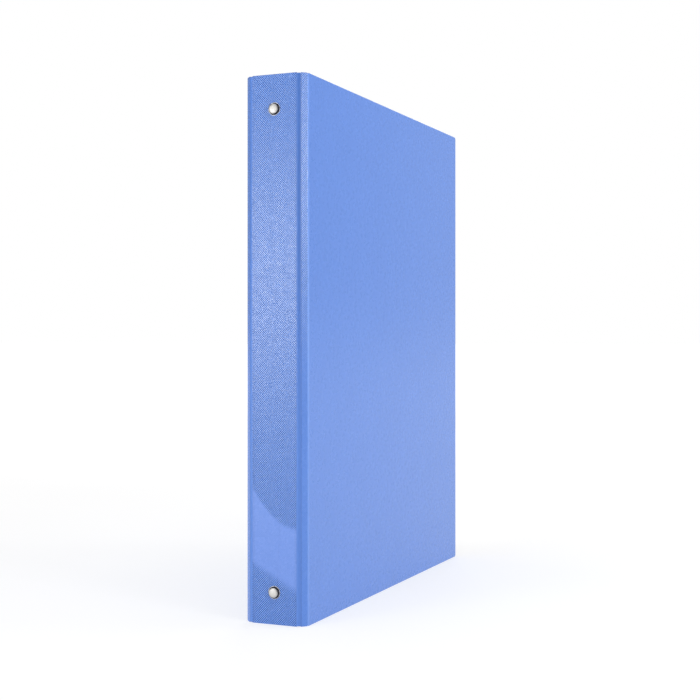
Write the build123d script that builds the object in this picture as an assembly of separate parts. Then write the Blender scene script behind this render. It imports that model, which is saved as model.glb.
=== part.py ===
from build123d import *
import math
import os

# Ring binder: one-piece polypropylene cover with four living hinges, and a
# four-ring lever mechanism riveted to the inside of the spine.
# Frame: +Z up, the binder stands upright on its bottom edges and is closed.
# The spine faces -Y, the front cover is on +X, the back cover on -X.
# Origin: bottom centre of the bounding box. Millimetres.

# ---- overall sizes -------------------------------------------------------
H = 320.0            # height of the cover
DEPTH = 268.0        # outer face of the spine to the free edge of the covers
WIDTH = 40.0         # over both covers, closed
T = 1.5              # thickness of the polypropylene sheet
CHAMFER = 4.3        # leg of the 45 degree hinge strip, measured on the outside
WEB_T = 0.5          # thickness left in a living hinge, flush with the outer skin
SPINE_REACH = 1.3    # web edge to fold axis, along the sheet, at the spine
COVER_REACH = 0.65   # the same at the cover, where the fold is sharper
CREASE_RAMP = 0.7    # length over which the sheet thins down to the web
EDGE_R = 0.3         # rounding of the cut edges
CORNER_R = 2.0       # rounding of the free corners of the covers

# ---- rivets and posts ----------------------------------------------------
RIVET_BRIM_D = 7.6
RIVET_BRIM_T = 0.3
RIVET_HEAD_D = 6.9
RIVET_HEAD_H = 1.9
RIVET_SHANK_D = 3.7
RIVET_HOLE_D = 3.9
RIVET_FLARE_D = 6.2
RIVET_FLARE_H = 0.7
RIVET_BORE_D = 2.4
RIVET_SPAN = 281.0   # distance between the two rivets
POST_D = 5.6
POST_BORE_D = 3.9
POST_FLANGE_D = 8.4
POST_FLANGE_T = 0.6

# ---- ring mechanism ------------------------------------------------------
MECH_Z = 159.2       # height of the middle of the mechanism
HOUSING_LEN = 303.0
HOUSING_T = 0.6
PLATEAU = 5.9        # mid-thickness height of the housing top over the spine
SIDE_U = 10.1        # mid-thickness half width of the housing
LIP_V = 1.6          # height of the curled rim
PIVOT_U = 9.2        # rail pivot, across
PIVOT_V = 3.0        # rail pivot, above the spine
RAIL_T = 0.8
RAIL_INNER = 0.2     # half of the gap between the rails when they are level
RAIL_HALF_LEN = 143.8
RAIL_NOTCH_R = 3.3
FINGER_U0 = 0.4
FINGER_U1 = 3.2
FINGER_END = 146.4
RAIL_TILT = 6.0      # rails dip by this much when closed, and rise by it when open
RING_PITCH = 80.0
RING_Z = (-120.0, -40.0, 40.0, 120.0)
WIRE_D = 2.8
RING_R = 13.9        # centreline radius: 25 mm inside
RING_V = 15.6        # ring centre above the spine
RING_END = -52.0     # where the circle ends and the foot turns down
FOOT_R = 1.8
STUB_D = 1.8
STUB_HEAD_D = 2.6
STUB_HEAD_H = 0.4
STUB_BACK = 1.4      # foot centre to rail pivot, along the rail
SLOT_U0 = 6.7
SLOT_V0 = 3.25
SLOT_W = 3.8

# ---- levers --------------------------------------------------------------
LEVER_Z = 149.0
LEVER_TILT = 12.0
LEVER_BARREL_R = 1.7
LEVER_BARREL_W = 17.8
LEVER_TAB_W = 13.0
LEVER_ARM_W = 7.2
LIP_REACH = 3.75
PIN_D = 1.6
PIN_HEAD_D = 2.7
PIN_HEAD_H = 0.5
HOUSING_OPEN_Z = 144.6

Y_SPINE = -(DEPTH + RIVET_HEAD_H) / 2 + RIVET_HEAD_H   # outer face of the spine
Y_FREE = Y_SPINE + DEPTH
Y_IN = Y_SPINE + T                                     # inner face of the spine

os.makedirs("parts", exist_ok=True)
NODES = {}


def rot2(p, deg):
    a = math.radians(deg)
    return (p[0] * math.cos(a) - p[1] * math.sin(a), p[0] * math.sin(a) + p[1] * math.cos(a))


def solid_of(shape):
    found = shape.solids()
    return found[0] if len(found) == 1 else Compound(found)


def extrude_poly(points, z0, z1):
    """A polygon in X, Y carried from z0 to z1."""
    face = make_face(Polyline(*[(x, y) for x, y in points], close=True))
    return Pos(0, 0, z0) * extrude(face, amount=z1 - z0, dir=(0, 0, 1))


# ---- cover ---------------------------------------------------------------
# The hinges are pressed from the inside, so the outer skin runs on over them.
# Each fold axis lies in the middle of the web.
SKIN = WEB_T / 2
TUCK = SKIN * math.tan(math.radians(22.5))
SPINE_FOLD = (WIDTH / 2 - CHAMFER - TUCK, Y_SPINE + SKIN)
COVER_FOLD = (WIDTH / 2 - SKIN, Y_SPINE + CHAMFER + TUCK)
print("spine fold axis", SPINE_FOLD, "cover fold axis", COVER_FOLD)


def sheet_profile(a, b, reach_a, reach_b):
    """Outline of a sheet along the line from a to b, which lies just under its outer skin. An end at a hinge stops short of the fold axis and thins from the inside down to the web."""
    dx, dy = b[0] - a[0], b[1] - a[1]
    length = math.hypot(dx, dy)
    t, n = (dx / length, dy / length), (-dy / length, dx / length)
    full = T - SKIN
    steps = ((0.0, SKIN), (0.14, 0.62), (0.40, 1.04), (CREASE_RAMP, full))
    inner = [(reach_a + s, h) for s, h in steps] if reach_a else [(0.0, full)]
    inner += [(length - reach_b - s, h) for s, h in reversed(steps)] if reach_b else [(length, full)]
    outline = inner + [(length - reach_b, -SKIN), (reach_a, -SKIN)]
    return [(a[0] + t[0] * s + n[0] * h, a[1] + t[1] * s + n[1] * h) for s, h in outline]


def web(fold, d1, d2, reach):
    """The thin curved web of a living hinge between two sheets that leave the fold axis along d1 and d2."""
    b = (d1[0] + d2[0], d1[1] + d2[1])
    bl = math.hypot(*b)
    b = (b[0] / bl, b[1] / bl)
    half = math.acos(max(-1, min(1, d1[0] * b[0] + d1[1] * b[1])))
    radius = reach / math.tan(math.pi / 2 - half)
    back = math.hypot(radius, reach)
    o = (fold[0] + b[0] * back, fold[1] + b[1] * back)

    def on(r, direction):
        p = (fold[0] + direction[0] * reach, fold[1] + direction[1] * reach)
        v = (p[0] - o[0], p[1] - o[1])
        return (o[0] + v[0] * r / radius, o[1] + v[1] * r / radius)

    def mid(r):
        return (o[0] - b[0] * r, o[1] - b[1] * r)

    ro, ri = radius + SKIN, radius - SKIN
    edges = [
        ThreePointArc(on(ro, d1), mid(ro), on(ro, d2)),
        Line(on(ro, d2), on(ri, d2)),
        ThreePointArc(on(ri, d2), mid(ri), on(ri, d1)),
        Line(on(ri, d1), on(ro, d1)),
    ]
    face = make_face(Curve() + edges)
    return Pos(0, 0, 0.4) * extrude(face, amount=H - 0.8, dir=(0, 0, 1))


def mirror_x(shape):
    return mirror(shape, about=Plane.YZ)


def soften(shape, edges, radius):
    return fillet(edges, radius) if len(edges) else shape


# spine panel
spine = extrude_poly(sheet_profile((-SPINE_FOLD[0], SPINE_FOLD[1]), SPINE_FOLD, SPINE_REACH, SPINE_REACH), 0, H)
for side in (-1, 1):
    hole = Pos(0, Y_SPINE + T / 2, MECH_Z + side * RIVET_SPAN / 2) * Rot(90, 0, 0) * Cylinder(RIVET_HOLE_D / 2, 4 * T)
    spine -= hole
NODES["spine_panel"] = spine

# hinge strips, 45 degrees
strip = extrude_poly(sheet_profile(SPINE_FOLD, COVER_FOLD, SPINE_REACH, COVER_REACH), 0, H)
NODES["front_hinge_strip"] = strip
NODES["back_hinge_strip"] = mirror_x(strip)

# covers
cover = extrude_poly(sheet_profile(COVER_FOLD, (COVER_FOLD[0], Y_FREE), COVER_REACH, 0.0), 0, H)
corner = [e for e in cover.edges() if abs(e.center().Y - Y_FREE) < 1e-6 and abs(e.tangent_at(0.5).X) > 0.99]
cover = fillet(corner, CORNER_R)
rim = [e for e in cover.edges() if e.center().Y > Y_SPINE + CHAMFER + 30 or (abs(e.tangent_at(0.5).Y) > 0.99 and e.length > 100)]
cover = fillet(rim, EDGE_R)
NODES["front_cover"] = cover
NODES["back_cover"] = mirror_x(cover)

q = math.sqrt(0.5)
w1 = web(SPINE_FOLD, (-1, 0), (q, q), SPINE_REACH)
w2 = web(COVER_FOLD, (-q, -q), (0, 1), COVER_REACH)
NODES["front_spine_living_hinge"] = w1
NODES["front_cover_living_hinge"] = w2
NODES["back_spine_living_hinge"] = mirror_x(w1)
NODES["back_cover_living_hinge"] = mirror_x(w2)


# ---- ring mechanism, built on u, v, z: across, above the spine, along ------
def place(shape):
    return Pos(0, Y_IN, MECH_Z) * shape


# housing: arched cover plate with curled rims
line = FilletPolyline(
    (-8.7, LIP_V), (-SIDE_U, LIP_V), (-SIDE_U, 4.7), (-8.6, 5.45), (-5.0, PLATEAU),
    (5.0, PLATEAU), (8.6, 5.45), (SIDE_U, 4.7), (SIDE_U, LIP_V), (8.7, LIP_V),
    radius=0.45,
)
section = make_face(line.offset_2d(HOUSING_T / 2, kind=Kind.ARC, side=Side.BOTH).edges())
housing = Pos(0, 0, -HOUSING_LEN / 2) * extrude(section, amount=HOUSING_LEN, dir=(0, 0, 1))
end_cut_len = HOUSING_LEN / 2 - HOUSING_OPEN_Z
for side in (-1, 1):
    housing -= Pos(0, 4.15, side * (HOUSING_OPEN_Z + end_cut_len / 2 + 1)) * Box(18.4, 6.7, end_cut_len + 2)
    housing -= Pos(0, PLATEAU, side * RIVET_SPAN / 2) * Rot(90, 0, 0) * Cylinder(RIVET_HOLE_D / 2, 4)
    housing -= Pos(0, PIVOT_V, side * LEVER_Z) * Rot(0, 90, 0) * Cylinder(PIN_D / 2 + 0.05, 30)
    for z in RING_Z:
        housing -= Pos(side * (SLOT_U0 + 11.5) / 2, (SLOT_V0 + 7.5) / 2, z) * Box(11.5 - SLOT_U0, 7.5 - SLOT_V0, SLOT_W)
# stiffening bead pressed along the top between the rings
for z in (-80.0, 0.0, 80.0):
    bead = Pos(0, PLATEAU + HOUSING_T / 2, z) * Box(3.0, 0.5, 34.0)
    bead = fillet([e for e in bead.edges() if abs(e.tangent_at(0.5).Y) > 0.99], 1.45)
    bead = fillet([e for e in bead.edges() if e.center().Y > PLATEAU + HOUSING_T / 2 + 0.2], 0.2)
    housing += bead
NODES["mechanism_housing"] = place(housing)

# carrier rails: two long blades that pivot in the rims and snap over centre
level = Pos((RAIL_INNER + PIVOT_U) / 2, PIVOT_V, 0) * Box(PIVOT_U - RAIL_INNER, RAIL_T, 2 * RAIL_HALF_LEN)
level += Pos(PIVOT_U, PIVOT_V, 0) * Cylinder(RAIL_T / 2, 2 * RAIL_HALF_LEN)
for side in (-1, 1):
    level += Pos((FINGER_U0 + FINGER_U1) / 2, PIVOT_V, side * (FINGER_END + 140) / 2) * Box(FINGER_U1 - FINGER_U0, RAIL_T, FINGER_END - 140)
    level -= Pos(0, PIVOT_V, side * RIVET_SPAN / 2) * Rot(90, 0, 0) * Cylinder(RAIL_NOTCH_R, 3)
for z in RING_Z:
    level -= Pos(PIVOT_U - STUB_BACK, PIVOT_V, z) * Rot(90, 0, 0) * Cylinder(STUB_D / 2 + 0.01, 3)
for z in (-80.0, 0.0, 80.0):
    window = Pos(5.2, PIVOT_V, z) * Box(2.6, 3, 22.0)
    window = fillet([e for e in window.edges() if abs(e.tangent_at(0.5).Y) > 0.99], 1.2)
    level -= window
tilt = Pos(PIVOT_U, PIVOT_V, 0) * Rot(0, 0, RAIL_TILT) * Pos(-PIVOT_U, -PIVOT_V, 0)
rail = tilt * level
NODES["right_carrier_rail"] = place(rail)
NODES["left_carrier_rail"] = place(mirror_x(rail))

# half rings
end = math.radians(RING_END)
end_point = (RING_R * math.cos(end), RING_V + RING_R * math.sin(end))
foot_centre = (end_point[0] + FOOT_R * math.cos(end), end_point[1] + FOOT_R * math.sin(end))
foot_end = (foot_centre[0] - FOOT_R, foot_centre[1])
print("ring foot at", foot_end)
GAP = 0.05
start_angle = math.degrees(math.acos(GAP / RING_R))
p0 = (RING_R * math.cos(math.radians(start_angle)), RING_V + RING_R * math.sin(math.radians(start_angle)))
mid_angle = math.radians((start_angle + RING_END) / 2)
arc1 = ThreePointArc(p0, (RING_R * math.cos(mid_angle), RING_V + RING_R * math.sin(mid_angle)), end_point)
mid_foot = math.radians(180 + RING_END / 2)
arc2 = ThreePointArc(end_point, (foot_centre[0] + FOOT_R * math.cos(mid_foot), foot_centre[1] + FOOT_R * math.sin(mid_foot)), foot_end)
tail = Line(foot_end, (foot_end[0], foot_end[1] - 1.2))
path = Wire([arc1.edge(), arc2.edge(), tail.edge()])
start_plane = Plane(origin=(p0[0], p0[1], 0), z_dir=(path % 0))
wire = sweep(start_plane * Circle(WIRE_D / 2), path=path)
tilt_r = math.radians(RAIL_TILT)
n_rail = (-math.sin(tilt_r), math.cos(tilt_r))
t_rail = (-math.cos(tilt_r), -math.sin(tilt_r))
top_point = (PIVOT_U + n_rail[0] * RAIL_T / 2, PIVOT_V + n_rail[1] * RAIL_T / 2)
below = Plane(origin=(top_point[0], top_point[1], 0), z_dir=(n_rail[0], n_rail[1], 0))
wire -= below * Pos(0, 0, -5) * Box(60, 60, 10)
stub_at = (PIVOT_U + t_rail[0] * STUB_BACK, PIVOT_V + t_rail[1] * STUB_BACK)
stub_plane = Plane(origin=(stub_at[0], stub_at[1], 0), z_dir=(n_rail[0], n_rail[1], 0))
stub = stub_plane * Pos(0, 0, -RAIL_T / 2 + (RAIL_T + 0.3) / 2) * Cylinder(STUB_D / 2, RAIL_T + 0.3)
stub += stub_plane * Pos(0, 0, -RAIL_T / 2 - STUB_HEAD_H / 2) * Cylinder(STUB_HEAD_D / 2, STUB_HEAD_H)
half = wire + stub
# the tips meet at the top: a cone on the right half sits in a socket in the left half
tip_y = RING_V + RING_R
male = Pos(GAP - 0.5, tip_y, 0) * Rot(0, -90, 0) * Cone(0.72, 0.42, 1.0)
right_half = half + male + Pos(GAP + 0.1, tip_y, 0) * Rot(0, 90, 0) * Cylinder(0.72, 0.25)
socket = Pos(-(GAP + 0.55), tip_y, 0) * Rot(0, -90, 0) * Cone(0.95, 0.68, 1.4)
left_half = mirror_x(half) - socket
for i, z in enumerate(RING_Z, start=1):
    NODES[f"half_ring_right_{i}"] = place(Pos(0, 0, z) * right_half)
    NODES[f"half_ring_left_{i}"] = place(Pos(0, 0, z) * left_half)

# levers: profile in z (outwards from the pivot) and v, channel level, tab up
def lever():
    barrel = Rot(0, 90, 0) * Cylinder(LEVER_BARREL_R, LEVER_BARREL_W)
    shape = barrel
    for s in (-1, 1):
        shape += Pos(0, s * 1.4, -(LIP_REACH + 0.6) / 2) * Box(LEVER_ARM_W, 0.6, LIP_REACH - 0.6)
        nose = Pos(0, s * 1.2, -LIP_REACH) * Rot(0, 90, 0) * Cylinder(0.5, LEVER_ARM_W)
        shape += nose
    # tab: a curved strip with a rounded thumb end, drawn as (outwards, up)
    p = [(-0.45, 1.0), (-0.25, 4.8), (0.5, 8.9), (2.3, 12.9), (4.5, 15.2), (5.2, 15.5), (5.75, 15.1), (5.6, 14.4),
         (3.55, 12.1), (1.8, 8.5), (1.05, 4.6), (0.85, 1.0)]
    tab_face = make_face(Curve() + [Spline(*p[:5]), Spline(*p[4:8]), Spline(*p[7:12]), Line(p[11], p[0])])
    tab = Rot(0, -90, 0) * extrude(tab_face, amount=LEVER_TAB_W / 2, both=True, dir=(0, 0, 1))
    outline = Pos(0, 5.9, 0) * Box(LEVER_TAB_W, 20.0, 30.0)
    outline = fillet([e for e in outline.edges() if e.center().Y > 15 and abs(e.tangent_at(0.5).Z) > 0.99], 4.5)
    tab = tab & outline
    shape += tab
    shape -= Rot(0, 90, 0) * Cylinder(PIN_D / 2 + 0.04, 40)
    return shape


neutral = lever()
top_lever = Pos(0, PIVOT_V, LEVER_Z) * Rot(-LEVER_TILT, 0, 0) * neutral
NODES["top_lever"] = place(top_lever)
NODES["bottom_lever"] = place(mirror(top_lever, about=Plane.XY))

pin_len = 2 * (SIDE_U + HOUSING_T / 2 + 0.02)
pin = Rot(0, 90, 0) * Cylinder(PIN_D / 2, pin_len + 0.2)
for s in (-1, 1):
    pin += Pos(s * (pin_len / 2 + PIN_HEAD_H / 2), 0, 0) * Rot(0, 90, 0) * Cylinder(PIN_HEAD_D / 2, PIN_HEAD_H)
pin = fillet([e for e in pin.edges().filter_by(GeomType.CIRCLE) if abs(abs(e.center().X) - (pin_len / 2 + PIN_HEAD_H)) < 1e-6], 0.2)
for name, s in (("top", 1), ("bottom", -1)):
    NODES[f"{name}_lever_pin"] = place(Pos(0, PIVOT_V, s * LEVER_Z) * pin)

# posts and rivets
post_top = PLATEAU - HOUSING_T / 2
post = Pos(0, post_top / 2, 0) * Rot(90, 0, 0) * Cylinder(POST_D / 2, post_top)
post += Pos(0, POST_FLANGE_T / 2, 0) * Rot(90, 0, 0) * Cylinder(POST_FLANGE_D / 2, POST_FLANGE_T)
post -= Pos(0, post_top / 2, 0) * Rot(90, 0, 0) * Cylinder(POST_BORE_D / 2, 20)

head_r, head_h = RIVET_HEAD_D / 2, RIVET_HEAD_H
v0 = -T                                   # outer face of the spine
v1 = PLATEAU + HOUSING_T / 2              # top of the housing
brim_r = RIVET_BRIM_D / 2
profile = Curve() + [
    Line((0, v0 - head_h), (0.01, v0 - head_h)),
    Spline((0.01, v0 - head_h), (1.6, v0 - head_h + 0.05), (2.55, v0 - head_h + 0.22), (3.15, v0 - head_h + 0.68), (head_r, v0 - RIVET_BRIM_T),
           tangents=[(1, 0), (0.08, 1)]),
    Line((head_r, v0 - RIVET_BRIM_T), (brim_r - 0.12, v0 - RIVET_BRIM_T)),
    ThreePointArc((brim_r - 0.12, v0 - RIVET_BRIM_T), (brim_r - 0.035, v0 - RIVET_BRIM_T + 0.035), (brim_r, v0 - RIVET_BRIM_T + 0.12)),
    Line((brim_r, v0 - RIVET_BRIM_T + 0.12), (brim_r, v0)),
    Line((brim_r, v0), (RIVET_SHANK_D / 2, v0)),
    Line((RIVET_SHANK_D / 2, v0), (RIVET_SHANK_D / 2, v1)),
    Line((RIVET_SHANK_D / 2, v1), (RIVET_FLARE_D / 2, v1)),
    ThreePointArc((RIVET_FLARE_D / 2, v1), (RIVET_FLARE_D / 2 - 0.35, v1 + 0.52), (RIVET_BORE_D / 2 + 0.75, v1 + RIVET_FLARE_H)),
    ThreePointArc((RIVET_BORE_D / 2 + 0.75, v1 + RIVET_FLARE_H), (RIVET_BORE_D / 2 + 0.2, v1 + RIVET_FLARE_H - 0.25), (RIVET_BORE_D / 2, v1 - 0.2)),
    Line((RIVET_BORE_D / 2, v1 - 0.2), (RIVET_BORE_D / 2, v1 - 4.0)),
    Line((RIVET_BORE_D / 2, v1 - 4.0), (0, v1 - 4.0)),
    Line((0, v1 - 4.0), (0, v0 - head_h)),
]
rivet = revolve(make_face(profile), axis=Axis.Y, revolution_arc=360)
for name, s in (("top", 1), ("bottom", -1)):
    at = Pos(0, 0, s * RIVET_SPAN / 2)
    NODES[f"{name}_mounting_post"] = place(at * post)
    NODES[f"{name}_rivet"] = place(at * rivet)

# ---- write ---------------------------------------------------------------
for old in os.listdir("parts"):
    if old.endswith(".step") and old[:-5] not in NODES:
        os.remove(os.path.join("parts", old))
for name, shape in NODES.items():
    export_step(solid_of(shape), f"parts/{name}.step")
print(len(NODES), "nodes")
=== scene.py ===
import math

import bmesh
import bpy
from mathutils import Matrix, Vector


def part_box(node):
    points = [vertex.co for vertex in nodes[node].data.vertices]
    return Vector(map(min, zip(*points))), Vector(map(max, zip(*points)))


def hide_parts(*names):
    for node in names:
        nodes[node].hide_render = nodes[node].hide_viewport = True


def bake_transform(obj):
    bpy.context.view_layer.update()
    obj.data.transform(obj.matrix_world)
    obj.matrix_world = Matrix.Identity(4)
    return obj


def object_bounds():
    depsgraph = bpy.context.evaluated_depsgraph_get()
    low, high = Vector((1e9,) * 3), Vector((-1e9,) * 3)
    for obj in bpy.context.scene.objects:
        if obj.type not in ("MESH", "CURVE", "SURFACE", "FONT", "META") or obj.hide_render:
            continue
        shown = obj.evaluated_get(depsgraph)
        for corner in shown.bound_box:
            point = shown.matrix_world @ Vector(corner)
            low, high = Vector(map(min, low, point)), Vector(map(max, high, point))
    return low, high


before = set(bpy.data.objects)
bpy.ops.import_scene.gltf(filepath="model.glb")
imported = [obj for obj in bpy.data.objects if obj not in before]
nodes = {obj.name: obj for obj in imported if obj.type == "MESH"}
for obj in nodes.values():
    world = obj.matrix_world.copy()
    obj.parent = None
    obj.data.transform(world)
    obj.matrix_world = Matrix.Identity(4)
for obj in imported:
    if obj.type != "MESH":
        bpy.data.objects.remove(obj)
cad_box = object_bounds()
scene = bpy.context.scene

# ---------------------------------------------------------------- the camera
# A level camera, well to the front-right of the spine. The lens shift stands
# for the crop of the picture.
AZ = math.radians(23.37)
FOCAL_PX = 1298.0
cam_data = bpy.data.cameras.new("camera")
cam_data.sensor_width = 36.0
cam_data.lens = FOCAL_PX / 700.0 * 36.0
cam_data.shift_y = -(350.0 - 339.4) / 700.0
cam_data.clip_start = 0.01
cam = bpy.data.objects.new("camera", cam_data)
cam.location = (0.3396, -0.8081, 0.1658)
cam.rotation_euler = (math.radians(90), 0, AZ)
scene.collection.objects.link(cam)
scene.camera = cam
scene.view_settings.view_transform = "Standard"


# ------------------------------------------------------------- node helpers
class Mat:
    """A small builder for node materials."""

    def __init__(self, name, coords="object"):
        self.m = bpy.data.materials.new(name)
        self.m.use_nodes = True
        self.t = self.m.node_tree
        self.t.nodes.clear()
        self.out = self.t.nodes.new("ShaderNodeOutputMaterial")
        self.b = self.t.nodes.new("ShaderNodeBsdfPrincipled")
        self.link(self.b.outputs[0], self.out.inputs[0])
        if coords == "object":
            self.co = self.t.nodes.new("ShaderNodeTexCoord").outputs["Object"]
        else:
            a = self.t.nodes.new("ShaderNodeAttribute")
            a.attribute_name = coords
            self.co = a.outputs["Vector"]
        self.xyz = None

    def link(self, a, b):
        self.t.links.new(a, b)

    def put(self, socket, v):
        if isinstance(v, bpy.types.NodeSocket):
            self.link(v, socket)
        else:
            socket.default_value = v

    def axis(self, k):
        if self.xyz is None:
            self.xyz = self.t.nodes.new("ShaderNodeSeparateXYZ")
            self.link(self.co, self.xyz.inputs[0])
        return self.xyz.outputs[k]

    def math(self, op, a, b=None, c=None, clamp=False):
        n = self.t.nodes.new("ShaderNodeMath")
        n.operation = op
        n.use_clamp = clamp
        self.put(n.inputs[0], a)
        if b is not None:
            self.put(n.inputs[1], b)
        if c is not None:
            self.put(n.inputs[2], c)
        return n.outputs[0]

    def smooth(self, v, lo, hi, to0=0.0, to1=1.0):
        n = self.t.nodes.new("ShaderNodeMapRange")
        n.interpolation_type = "SMOOTHSTEP"
        self.put(n.inputs["Value"], v)
        n.inputs["From Min"].default_value = lo
        n.inputs["From Max"].default_value = hi
        n.inputs["To Min"].default_value = to0
        n.inputs["To Max"].default_value = to1
        return n.outputs["Result"]

    def noise(self, scale, detail=3.0, rough=0.55, stretch=None, w=None):
        co = self.co
        if stretch is not None:
            v = self.t.nodes.new("ShaderNodeVectorMath")
            v.operation = "MULTIPLY"
            self.link(co, v.inputs[0])
            v.inputs[1].default_value = stretch
            co = v.outputs[0]
        n = self.t.nodes.new("ShaderNodeTexNoise")
        self.link(co, n.inputs["Vector"])
        n.inputs["Scale"].default_value = scale
        n.inputs["Detail"].default_value = detail
        n.inputs["Roughness"].default_value = rough
        return n.outputs[0]

    def ramp(self, v, stops):
        n = self.t.nodes.new("ShaderNodeValToRGB")
        self.link(v, n.inputs[0])
        e = n.color_ramp.elements
        while len(e) > 1:
            e.remove(e[0])
        e[0].position, e[0].color = stops[0][0], (*stops[0][1], 1)
        for pos, col in stops[1:]:
            s = e.new(pos)
            s.color = (*col, 1)
        return n.outputs[0]

    def bump(self, height, distance, strength=1.0, normal=None):
        n = self.t.nodes.new("ShaderNodeBump")
        n.inputs["Strength"].default_value = strength
        n.inputs["Distance"].default_value = distance
        self.link(height, n.inputs["Height"])
        if normal is not None:
            self.link(normal, n.inputs["Normal"])
        return n.outputs[0]


def lin(r, g, b):
    """sRGB 0-255 to linear."""
    return tuple((c / 255 / 12.92) if c / 255 <= 0.04045 else ((c / 255 + 0.055) / 1.055) ** 2.4 for c in (r, g, b))


def shade(col, k):
    return tuple(min(1.0, c * k) for c in col)


BLUE = (0.101, 0.240, 0.703)


def polypropylene(name, emboss=0.0, grain=0.4, coords="object", rough=(0.26, 0.34), area=None, tint=1.0, painted_light_by_height=None):
    """Blue polypropylene sheet. emboss is the depth of the diamond grain pressed into the sheet, in mm."""
    m = Mat(name, coords)
    tone = m.noise(38.0, 4.0, 0.6)
    blue = shade(BLUE, tint)
    colour = m.ramp(tone, [(0.30, shade(blue, 0.985)), (0.50, blue), (0.72, shade(blue, 1.015))])
    m.b.inputs["IOR"].default_value = 1.49
    m.b.inputs["Subsurface Weight"].default_value = 0.0
    cloud = m.noise(240.0, 3.0, 0.6)
    m.link(m.smooth(cloud, 0.3, 0.7, rough[0], rough[1]), m.b.inputs["Roughness"])
    # slow unevenness of the extruded sheet, then the fine grain of its skin
    slow = m.bump(m.noise(9.0, 1.0, 0.4, stretch=(1.0, 1.0, 0.6)), 0.0006, 0.25)
    fine = m.bump(m.noise(2600.0, 3.0, 0.6), 0.00002 * grain, 1.0, slow)
    last = fine
    if emboss > 0:
        pitch = 1.38e-3
        x, y, z = m.axis(0), m.axis(1), m.axis(2)
        # distance along the sheet, and the side of it that carries the grain
        if area == "spine":
            run = m.math("ADD", x, y)
            outer = m.smooth(y, -0.1326, -0.1322, 1.0, 0.0)
        else:
            side = m.math("ABSOLUTE", x)
            run = m.math("MULTIPLY", m.math("ADD", side, y), math.sqrt(0.5))
            outer = m.smooth(m.math("MULTIPLY", m.math("SUBTRACT", side, y), math.sqrt(0.5)), 0.1043, 0.1047, 0.0, 1.0)
        a = m.math("MULTIPLY", m.math("ADD", run, z), math.pi / pitch)
        b = m.math("MULTIPLY", m.math("SUBTRACT", run, z), math.pi / pitch)
        sa = m.math("ABSOLUTE", m.math("SINE", a))
        sb = m.math("ABSOLUTE", m.math("SINE", b))
        # flat-topped diamonds with narrow grooves between them
        cells = m.smooth(m.math("MULTIPLY", sa, sb), 0.04, 0.62)
        # the press is a little shallower in places
        uneven = m.smooth(m.noise(260.0, 2.0, 0.5), 0.30, 0.65, 0.90, 1.0)
        if area == "spine":
            # it stops short of the creases, and fades out in a smooth
            # slanting patch low on the spine
            edge = m.smooth(m.math("ABSOLUTE", x), 0.0138, 0.0147, 1.0, 0.0)
            bow = m.math("MULTIPLY", m.math("POWER", m.math("SUBTRACT", 0.014, x), 2.0), 28.4)
            top = m.math("SUBTRACT", z, m.math("ADD", bow, 0.0565))
            low = m.math("ADD", z, m.math("MULTIPLY", x, 0.52))
            patch = m.math("MULTIPLY", m.smooth(top, -0.0018, 0.0018, 1.0, 0.0), m.smooth(low, 0.0245, 0.0305, 0.0, 1.0))
            keep = m.math("MULTIPLY", edge, m.math("SUBTRACT", 1.0, m.math("MULTIPLY", patch, 0.97)))
            # painted shade: the sheet darkens towards the crease, as if it turned away from the light there
            fold = m.ramp(m.math("MULTIPLY", m.math("ABSOLUTE", x), 50.0), [(0.610, (1.0, 1.0, 1.0)), (0.725, (0.86, 0.87, 0.89))])
            # painted reflection: the smooth patch is made lighter and whiter, standing in for a stronger reflection on
            # the smooth sheet
            painted_light_tint = m.ramp(patch, [(0.0, (1.0, 1.0, 1.0)), (1.0, (1.58, 1.23, 1.10))])
        else:
            # on the folding strips the grain is pressed in towards the top only
            keep = m.smooth(z, 0.135, 0.215, 0.06, 0.85)
            # painted shade: the strip is darker along its edge next to the spine crease
            fold = m.ramp(m.math("MULTIPLY", m.math("ABSOLUTE", x), 50.0), [(0.838, (0.74, 0.76, 0.80)), (0.862, (1.0, 1.0, 1.0))])
            # painted light: the strip is darker in a band at mid height and lighter towards the top
            painted_light_tint = m.ramp(m.math("MULTIPLY", z, 3.0), [(0.25, (1.0, 1.0, 1.0)), (0.40, (0.90, 0.93, 0.95)), (0.52, (0.90, 0.93, 0.95)), (0.66, (1.08, 1.04, 1.0))])
        keep = m.math("MULTIPLY", keep, outer)
        height = m.math("MULTIPLY", m.math("MULTIPLY", cells, uneven), keep)
        last = m.bump(height, emboss * 1e-3, 1.0, fine)
        # light is lost in the grooves between the diamonds and caught by their tops
        deep = cells
        shadow = m.ramp(deep, [(0.0, (0.10, 0.14, 0.29)), (0.45, (0.56, 0.61, 0.75)), (1.0, (1.68, 1.54, 1.29))])
        mix = m.t.nodes.new("ShaderNodeMix")
        mix.data_type = "RGBA"
        mix.blend_type = "MULTIPLY"
        m.link(m.math("MULTIPLY", keep, uneven), mix.inputs["Factor"])
        m.link(colour, mix.inputs[6])
        m.link(shadow, mix.inputs[7])
        # multiply in the painted shade by the crease, then the painted light tint
        turn = m.t.nodes.new("ShaderNodeMix")
        turn.data_type = "RGBA"
        turn.blend_type = "MULTIPLY"
        turn.inputs["Factor"].default_value = 1.0
        m.link(mix.outputs[2], turn.inputs[6])
        m.link(fold, turn.inputs[7])
        painted_light_mix = m.t.nodes.new("ShaderNodeMix")
        painted_light_mix.data_type = "RGBA"
        painted_light_mix.blend_type = "MULTIPLY"
        painted_light_mix.inputs["Factor"].default_value = 1.0
        m.link(turn.outputs[2], painted_light_mix.inputs[6])
        m.link(painted_light_tint, painted_light_mix.inputs[7])
        colour = painted_light_mix.outputs[2]
    if painted_light_by_height is not None:
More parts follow.
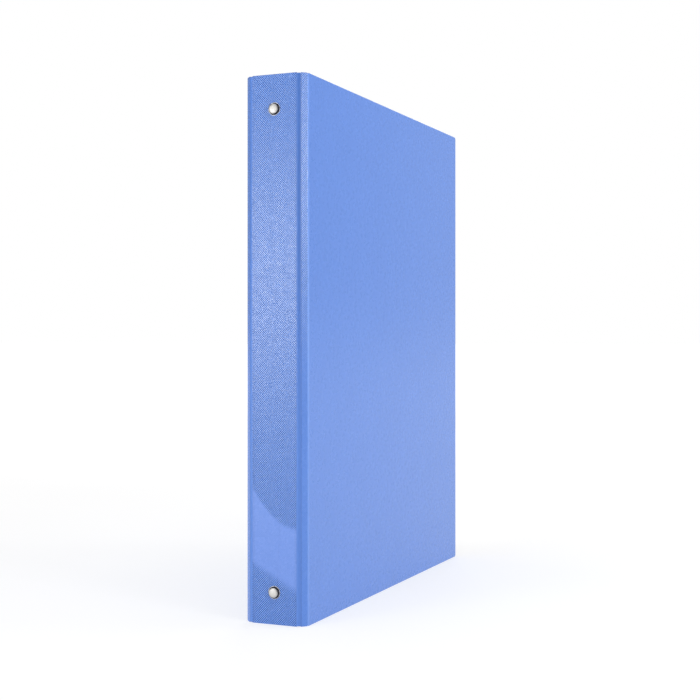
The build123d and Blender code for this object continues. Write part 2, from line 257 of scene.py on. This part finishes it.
        # a crease: painted light on its colour, shade on the spine creases and a highlight on the cover creases,
        # changing from the lower part to the upper one
        painted_light_ramp = m.ramp(m.math("MULTIPLY", m.axis(2), 3.0), [(0.30, painted_light_by_height[0]), (0.50, painted_light_by_height[1]), (0.74, painted_light_by_height[2])])
        mix = m.t.nodes.new("ShaderNodeMix")
        mix.data_type = "RGBA"
        mix.blend_type = "MULTIPLY"
        mix.inputs["Factor"].default_value = 1.0
        m.link(colour, mix.inputs[6])
        m.link(painted_light_ramp, mix.inputs[7])
        # and painted shade, darker towards the strip than towards the spine
        across = m.ramp(m.math("MULTIPLY", m.math("ABSOLUTE", m.axis(0)), 50.0), [(0.715, (1.16, 1.14, 1.10)), (0.760, (1.02, 1.02, 1.01)), (0.825, (0.93, 0.94, 0.95))])
        side = m.t.nodes.new("ShaderNodeMix")
        side.data_type = "RGBA"
        side.blend_type = "MULTIPLY"
        side.inputs["Factor"].default_value = 1.0
        m.link(mix.outputs[2], side.inputs[6])
        m.link(across, side.inputs[7])
        colour = side.outputs[2]
    m.link(colour, m.b.inputs["Base Color"])
    m.link(last, m.b.inputs["Normal"])
    return m.m


def metal(name, colour, rough=(0.14, 0.24), scratch=0.5, along=(1.0, 1.0, 0.05), tint=0.05):
    """Plated or rolled steel: cloudy gloss, fine drawn lines and a few brighter and duller patches."""
    m = Mat(name)
    m.b.inputs["Metallic"].default_value = 1.0
    cloud = m.noise(160.0, 4.0, 0.6)
    m.link(m.ramp(cloud, [(0.28, shade(colour, 1 - tint)), (0.55, colour), (0.78, shade(colour, 1 + tint))]), m.b.inputs["Base Color"])
    lines = m.noise(5200.0, 2.0, 0.5, stretch=along)
    m.link(m.smooth(m.math("MULTIPLY_ADD", lines, 0.35, m.math("MULTIPLY", cloud, 0.65)), 0.32, 0.68, rough[0], rough[1]), m.b.inputs["Roughness"])
    wave = m.bump(m.noise(420.0, 2.0, 0.5), 0.00002, 0.6)
    m.link(m.bump(lines, 0.000004 * scratch, 1.0, wave), m.b.inputs["Normal"])
    return m.m


NICKEL = (0.60, 0.60, 0.61)
mats = {
    "cover": polypropylene("pp_cover", emboss=0.0, grain=0.08, rough=(0.26, 0.30)),
    "spine": polypropylene("pp_spine", emboss=0.032, grain=0.3, rough=(0.24, 0.30), area="spine"),
    "strip": polypropylene("pp_strip", emboss=0.032, grain=0.3, rough=(0.24, 0.30), area="strip"),
    # the long creases: painted shade darkens them beside the spine, more so at the front cover,
    # and a painted highlight whitens them beside the covers
    "front_spine_crease": polypropylene("pp_front_spine_crease", grain=0.3, coords="rest_co", rough=(0.30, 0.38), painted_light_by_height=((0.91, 0.91, 0.92), (0.82, 0.82, 0.84), (0.74, 0.74, 0.76))),
    "back_spine_crease": polypropylene("pp_back_spine_crease", grain=0.3, coords="rest_co", rough=(0.30, 0.38), painted_light_by_height=((0.98, 0.98, 0.98), (0.95, 0.95, 0.95), (0.90, 0.90, 0.91))),
    "front_cover_crease": polypropylene("pp_front_cover_crease", grain=0.2, coords="rest_co", rough=(0.20, 0.26), painted_light_by_height=((1.75, 1.42, 1.20), (2.05, 1.60, 1.28), (1.36, 1.26, 1.16))),
    "back_cover_crease": polypropylene("pp_back_cover_crease", grain=0.2, coords="rest_co", rough=(0.20, 0.26), painted_light_by_height=((1.30, 1.20, 1.12), (1.40, 1.26, 1.16), (1.24, 1.18, 1.10))),
    "housing": metal("nickel_housing", NICKEL, rough=(0.12, 0.20), along=(1.0, 1.0, 0.02)),
    "rail": metal("rolled_steel", (0.50, 0.50, 0.51), rough=(0.28, 0.42), scratch=1.2, along=(1.0, 1.0, 0.02), tint=0.09),
    "ring": metal("nickel_ring", (0.72, 0.72, 0.74), rough=(0.08, 0.15), along=(0.05, 0.05, 1.0)),
    "lever": metal("nickel_lever", NICKEL, rough=(0.12, 0.22), along=(0.05, 1.0, 1.0)),
    "post": metal("zinc_post", (0.58, 0.58, 0.60), rough=(0.26, 0.38), scratch=1.2, along=(1.0, 0.02, 1.0), tint=0.08),
}


def rivet_metal():
    """Nickel-plated rivet: a soft bright face, a side wall with a painted dark reflection and a brim with a painted
    highlight.
    """
    m = Mat("nickel_rivet")
    m.b.inputs["Metallic"].default_value = 1.0
    x2 = m.math("POWER", m.axis(0), 2.0)
    centres = [(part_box(f"{e}_rivet")[0].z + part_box(f"{e}_rivet")[1].z) / 2 for e in ("top", "bottom")]
    r = None
    for zc in centres:
        d = m.math("SQRT", m.math("ADD", x2, m.math("POWER", m.math("SUBTRACT", m.axis(2), zc), 2.0)))
        r = d if r is None else m.math("MINIMUM", r, d)
    radius = m.math("MULTIPLY", r, 200.0)
    cloud = m.noise(900.0, 3.0, 0.6)
    # painted reflection by radius: the side wall near black for the dark room it reflects, the brim bright as a painted
    # highlight
    painted_reflection_band = m.ramp(radius, [(0.0, (0.61, 0.60, 0.575)), (0.550, (0.57, 0.56, 0.545)), (0.575, (0.05, 0.05, 0.06)), (0.705, (0.04, 0.04, 0.05)), (0.722, (0.66, 0.67, 0.70)), (1.0, (0.60, 0.61, 0.63))])
    tone = m.ramp(cloud, [(0.3, (0.94, 0.94, 0.94)), (0.7, (1.0, 1.0, 1.0))])
    mix = m.t.nodes.new("ShaderNodeMix")
    mix.data_type = "RGBA"
    mix.blend_type = "MULTIPLY"
    mix.inputs["Factor"].default_value = 1.0
    m.link(painted_reflection_band, mix.inputs[6])
    m.link(tone, mix.inputs[7])
    m.link(mix.outputs[2], m.b.inputs["Base Color"])
    m.link(m.smooth(cloud, 0.3, 0.7, 0.46, 0.54), m.b.inputs["Roughness"])
    m.link(m.bump(m.noise(1500.0, 2.0, 0.5), 0.000006, 0.5), m.b.inputs["Normal"])
    return m.m


def paint(node, mat):
    o = nodes[node]
    o.data.materials.clear()
    o.data.materials.append(mats[mat])


def round_edges(node, width, segments=2, angle=35.0):
    """Weld the imported faces together and round the sharp edges a little."""
    o = nodes[node]
    w = o.modifiers.new("weld", "WELD")
    w.merge_threshold = 2e-6
    b = o.modifiers.new("bevel", "BEVEL")
    b.width = width
    b.segments = segments
    b.limit_method = "ANGLE"
    b.angle_limit = math.radians(angle)
    b.use_clamp_overlap = True
    b.harden_normals = False


mats["rivet"] = rivet_metal()
for n in nodes:
    if n in ("front_cover", "back_cover"):
        paint(n, "cover")
    elif n == "spine_panel":
        paint(n, "spine")
    elif n.endswith("hinge_strip"):
        paint(n, "strip")
    elif n.endswith("living_hinge"):
        paint(n, "spine")
    elif n.endswith("_rivet"):
        paint(n, "rivet")
    elif n == "mechanism_housing":
        paint(n, "housing")
    elif n.endswith("carrier_rail"):
        paint(n, "rail")
    elif n.startswith("half_ring"):
        paint(n, "ring")
    elif n.endswith("mounting_post"):
        paint(n, "post")
    else:
        paint(n, "lever")

# ----------------------------------------------------- the flexing creases
# Each living hinge is a thin web that bends between its two panels.
WEB_T = 0.0005
SPINE_REACH = 0.0013
COVER_REACH = 0.00065
SKIN = WEB_T / 2
SPINE_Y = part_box("spine_panel")[0].y
LEG = 0.0043
SPINE_FOLD = (0.020 - LEG - SKIN * math.tan(math.radians(22.5)), SPINE_Y + SKIN)
COVER_FOLD = (0.020 - SKIN, SPINE_Y + LEG + SKIN * math.tan(math.radians(22.5)))
HEIGHT = cad_box[1].z - cad_box[0].z


def crease(name, fold, d1, d2, reach, node, flip):
    """A web across the fold axis, from the panel along d1 to the panel along d2."""
    b = Vector((d1[0] + d2[0], d1[1] + d2[1])).normalized()
    half = math.acos(Vector(d1).dot(b))
    radius = reach / math.tan(math.pi / 2 - half)
    o = Vector(fold) + b * math.hypot(radius, reach)
    start, end = Vector(fold) + Vector(d1) * reach, Vector(fold) + Vector(d2) * reach
    v1, v2 = start - o, end - o
    turn = math.atan2(v1.x * v2.y - v1.y * v2.x, v1.dot(v2))
    n, rows = 14, 32
    outline = []
    steps = []
    for i in range(n + 1):
        steps.append(i / n)
    line = []
    for t in steps:
        a = turn * t
        v = Vector((v1.x * math.cos(a) - v1.y * math.sin(a), v1.x * math.sin(a) + v1.y * math.cos(a)))
        line.append((o + v, v.normalized()))
    out = -b
    mesh = bpy.data.meshes.new(name)
    bm = bmesh.new()
    sections = []
    for p, nrm in line:
        if nrm.dot(out) < 0:
            nrm = -nrm
        outline.append((p, nrm))
    z0, z1 = 0.00035, HEIGHT - 0.00035
    sx = -1 if flip else 1
    rings = []
    for k in range(rows + 1):
        z = z0 + (z1 - z0) * k / rows
        ring = []
        for p, nrm in outline:
            q = p + nrm * (WEB_T / 2)
            ring.append(bm.verts.new((sx * q.x, q.y, z)))
        for p, nrm in reversed(outline):
            q = p - nrm * (WEB_T / 2)
            ring.append(bm.verts.new((sx * q.x, q.y, z)))
        rings.append(ring)
    m = len(rings[0])
    for k in range(rows):
        for i in range(m):
            j = (i + 1) % m
            bm.faces.new((rings[k][i], rings[k][j], rings[k + 1][j], rings[k + 1][i]))
    bm.faces.new(list(reversed(rings[0])))
    bm.faces.new(rings[-1])
    bmesh.ops.recalc_face_normals(bm, faces=bm.faces)
    for f in bm.faces:
        f.smooth = True
    bm.to_mesh(mesh)
    bm.free()
    rest = mesh.attributes.new("rest_co", "FLOAT_VECTOR", "POINT")
    flat = [c for v in mesh.vertices for c in v.co]
    rest.data.foreach_set("vector", flat)
    ob = bpy.data.objects.new(name, mesh)
    scene.collection.objects.link(ob)
    mesh.materials.append(mats[name])
    mod = ob.modifiers.new("edges", "EDGE_SPLIT")
    mod.split_angle = math.radians(50)
    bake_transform(ob)
    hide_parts(node)
    return ob


Q = math.sqrt(0.5)
for side, flip in (("front", False), ("back", True)):
    crease(f"{side}_spine_crease", SPINE_FOLD, (-1, 0), (Q, Q), SPINE_REACH, f"{side}_spine_living_hinge", flip)
    crease(f"{side}_cover_crease", COVER_FOLD, (-Q, -Q), (0, 1), COVER_REACH, f"{side}_cover_living_hinge", flip)

for n in ("spine_panel", "front_hinge_strip", "back_hinge_strip"):
    round_edges(n, 0.00022)
for n in ("mechanism_housing", "top_lever", "bottom_lever"):
    round_edges(n, 0.00015)

# ------------------------------------------------------- floor and light
floor_mesh = bpy.data.meshes.new("floor")
bm = bmesh.new()
bmesh.ops.create_grid(bm, x_segments=40, y_segments=40, size=40.0)
bm.to_mesh(floor_mesh)
bm.free()
floor = bpy.data.objects.new("floor", floor_mesh)
scene.collection.objects.link(floor)
fm = Mat("floor_paper")
fm.link(fm.ramp(fm.noise(3.0, 2.0, 0.5), [(0.3, (0.44, 0.44, 0.44)), (0.7, (0.47, 0.47, 0.47))]), fm.b.inputs["Base Color"])
fm.b.inputs["Roughness"].default_value = 0.9
fm.b.inputs["Specular IOR Level"].default_value = 0.1
fm.b.inputs["Emission Color"].default_value = (1, 1, 1, 1)
away = fm.math("SQRT", fm.math("ADD", fm.math("POWER", fm.axis(0), 2.0), fm.math("POWER", fm.axis(1), 2.0)))
fm.link(fm.smooth(away, 0.1, 3.0, 0.60, 0.95), fm.b.inputs["Emission Strength"])
floor.data.materials.append(fm.m)

# the room: a white backdrop, softer grey round about, and dark where the
# photographer stands, which is what the bright metal and the creases pick up
world = bpy.data.worlds.new("studio")
scene.world = world
world.use_nodes = True
wt = world.node_tree
wc = wt.nodes.new("ShaderNodeTexCoord")


def toward(az, el, lo, hi, to0, to1):
    """Smooth value by the angle from a direction: to0 beyond lo degrees, to1 within hi degrees."""
    a, e = math.radians(az), math.radians(el)
    d = wt.nodes.new("ShaderNodeVectorMath")
    d.operation = "DOT_PRODUCT"
    wt.links.new(wc.outputs["Generated"], d.inputs[0])
    d.inputs[1].default_value = (math.sin(a) * math.cos(e), -math.cos(a) * math.cos(e), math.sin(e))
    r = wt.nodes.new("ShaderNodeMapRange")
    r.interpolation_type = "SMOOTHSTEP"
    wt.links.new(d.outputs["Value"], r.inputs["Value"])
    r.inputs["From Min"].default_value = math.cos(math.radians(lo))
    r.inputs["From Max"].default_value = math.cos(math.radians(hi))
    r.inputs["To Min"].default_value = to0
    r.inputs["To Max"].default_value = to1
    return r.outputs["Result"]


def times(a, b, op="MULTIPLY"):
    n = wt.nodes.new("ShaderNodeMath")
    n.operation = op
    for k, v in enumerate((a, b)):
        if isinstance(v, float):
            n.inputs[k].default_value = v
        else:
            wt.links.new(v, n.inputs[k])
    return n.outputs[0]


level = toward(172, 6, 22, 6, 0.40, 0.80)
level = times(level, toward(32, -4, 52, 24, 1.0, 0.15))
# seen directly, the backdrop is plain white
direct = wt.nodes.new("ShaderNodeLightPath").outputs["Is Camera Ray"]
level = times(level, direct, "MAXIMUM")
wt.links.new(level, wt.nodes["Background"].inputs["Strength"])
wt.nodes["Background"].inputs[0].default_value = (1.0, 1.0, 1.0, 1)

CENTRE = Vector((0, -0.02, 0.16))


def place(az, el, dist, target=CENTRE):
    """A point seen from the target at this azimuth (0 = in front of the spine, 90 = front cover side) and elevation."""
    a, e = math.radians(az), math.radians(el)
    return target + dist * Vector((math.sin(a) * math.cos(e), -math.cos(a) * math.cos(e), math.sin(e)))


def area(name, az, el, dist, w, h, watts, colour=(1, 1, 1), target=CENTRE):
    d = bpy.data.lights.new(name, "AREA")
    d.shape = "RECTANGLE"
    d.size, d.size_y = w, h
    d.energy = watts
    d.color = colour
    o = bpy.data.objects.new(name, d)
    o.location = place(az, el, dist, target)
    o.rotation_euler = (target - o.location).to_track_quat("-Z", "Y").to_euler()
    o.visible_camera = False
    scene.collection.objects.link(o)
    return o


area("key_left", -27, 4.4, 1.7, 0.46, 0.32, 7.2)
area("side_high", 66, 11, 1.7, 0.40, 0.24, 6.8)
area("cover_fill", 112, 14, 0.80, 0.3, 0.3, 1.05)
area("inside_fill", 193, 24, 1.6, 0.7, 0.6, 3.8)
area("top", 10, 78, 1.5, 1.6, 1.6, 11.0)
